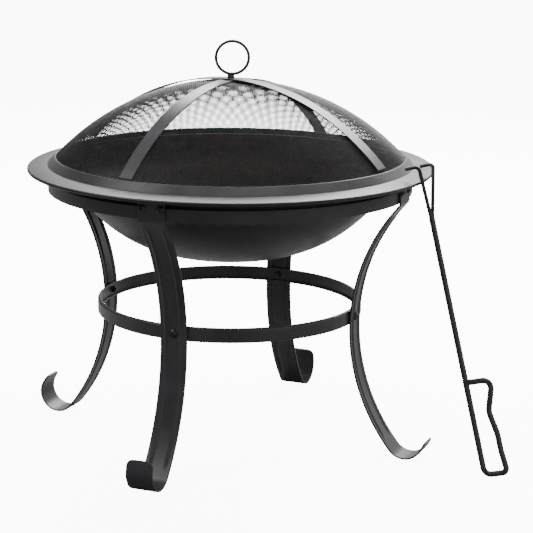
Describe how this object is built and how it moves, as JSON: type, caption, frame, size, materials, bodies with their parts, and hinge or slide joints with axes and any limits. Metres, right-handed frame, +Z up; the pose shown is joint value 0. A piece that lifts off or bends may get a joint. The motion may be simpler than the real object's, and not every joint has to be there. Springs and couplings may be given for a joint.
{
  "type": "fire pit",
  "caption": "Round steel fire pit on bowed strip legs, with a lift-off bowl, log grate, domed mesh spark screen with a ring handle, and a hooked poker leaning on its rim.",
  "frame": {"origin": "on the ground, on the axis of the bowl", "axes": "+Z up, -Y towards the front leg, +X towards the right-hand leg; the poker leans on the +X side"},
  "size_m": [0.7134, 0.588, 0.5584],
  "materials": {
    "powder_coat": "satin",
    "screw_black": "satin",
    "mesh_wire": "matte",
    "grate_steel": "matte",
    "poker_steel": "satin"
  },
  "bodies": {
    "stand": {"leg_front": "powder_coat", "leg_right": "powder_coat", "leg_back": "powder_coat", "leg_left": "powder_coat", "upper_ring_front_right": "powder_coat", "upper_ring_back_right": "powder_coat", "upper_ring_back_left": "powder_coat", "upper_ring_front_left": "powder_coat", "brace_hoop": "powder_coat", "tab_screws": "screw_black", "tab_nuts": "screw_black", "brace_bolts": "screw_black", "brace_nuts": "screw_black"},
    "bowl": {"fire_bowl": "powder_coat"},
    "grate": {"grate_ring": "grate_steel", "grate_runners": "grate_steel", "grate_bars": "grate_steel"},
    "screen": {"lid_ring": "powder_coat", "mesh_dome": "mesh_wire", "lower_strap": "powder_coat", "upper_strap": "powder_coat", "handle_nut": "powder_coat", "handle_washer": "screw_black", "handle_bolt": "screw_black", "handle_ring": "powder_coat"},
    "poker": {"poker_rod": "poker_steel", "poker_prongs": "poker_steel"}
  },
  "joints": [
    {"name": "bowl_lift", "type": "slide", "parent": "stand", "child": "bowl", "axis": [0, 0, 1], "range_m": [0, 0.3]},
    {"name": "grate_lift", "type": "slide", "parent": "bowl", "child": "grate", "axis": [0, 0, 1], "range_m": [0, 0.13]},
    {"name": "lid_lift", "type": "slide", "parent": "bowl", "child": "screen", "axis": [0, 0, 1], "range_m": [0, 0.3]},
    {"name": "poker_lift", "type": "slide", "parent": "bowl", "child": "poker", "axis": [0, 0, 1], "range_m": [0, 0.3]}
  ]
}
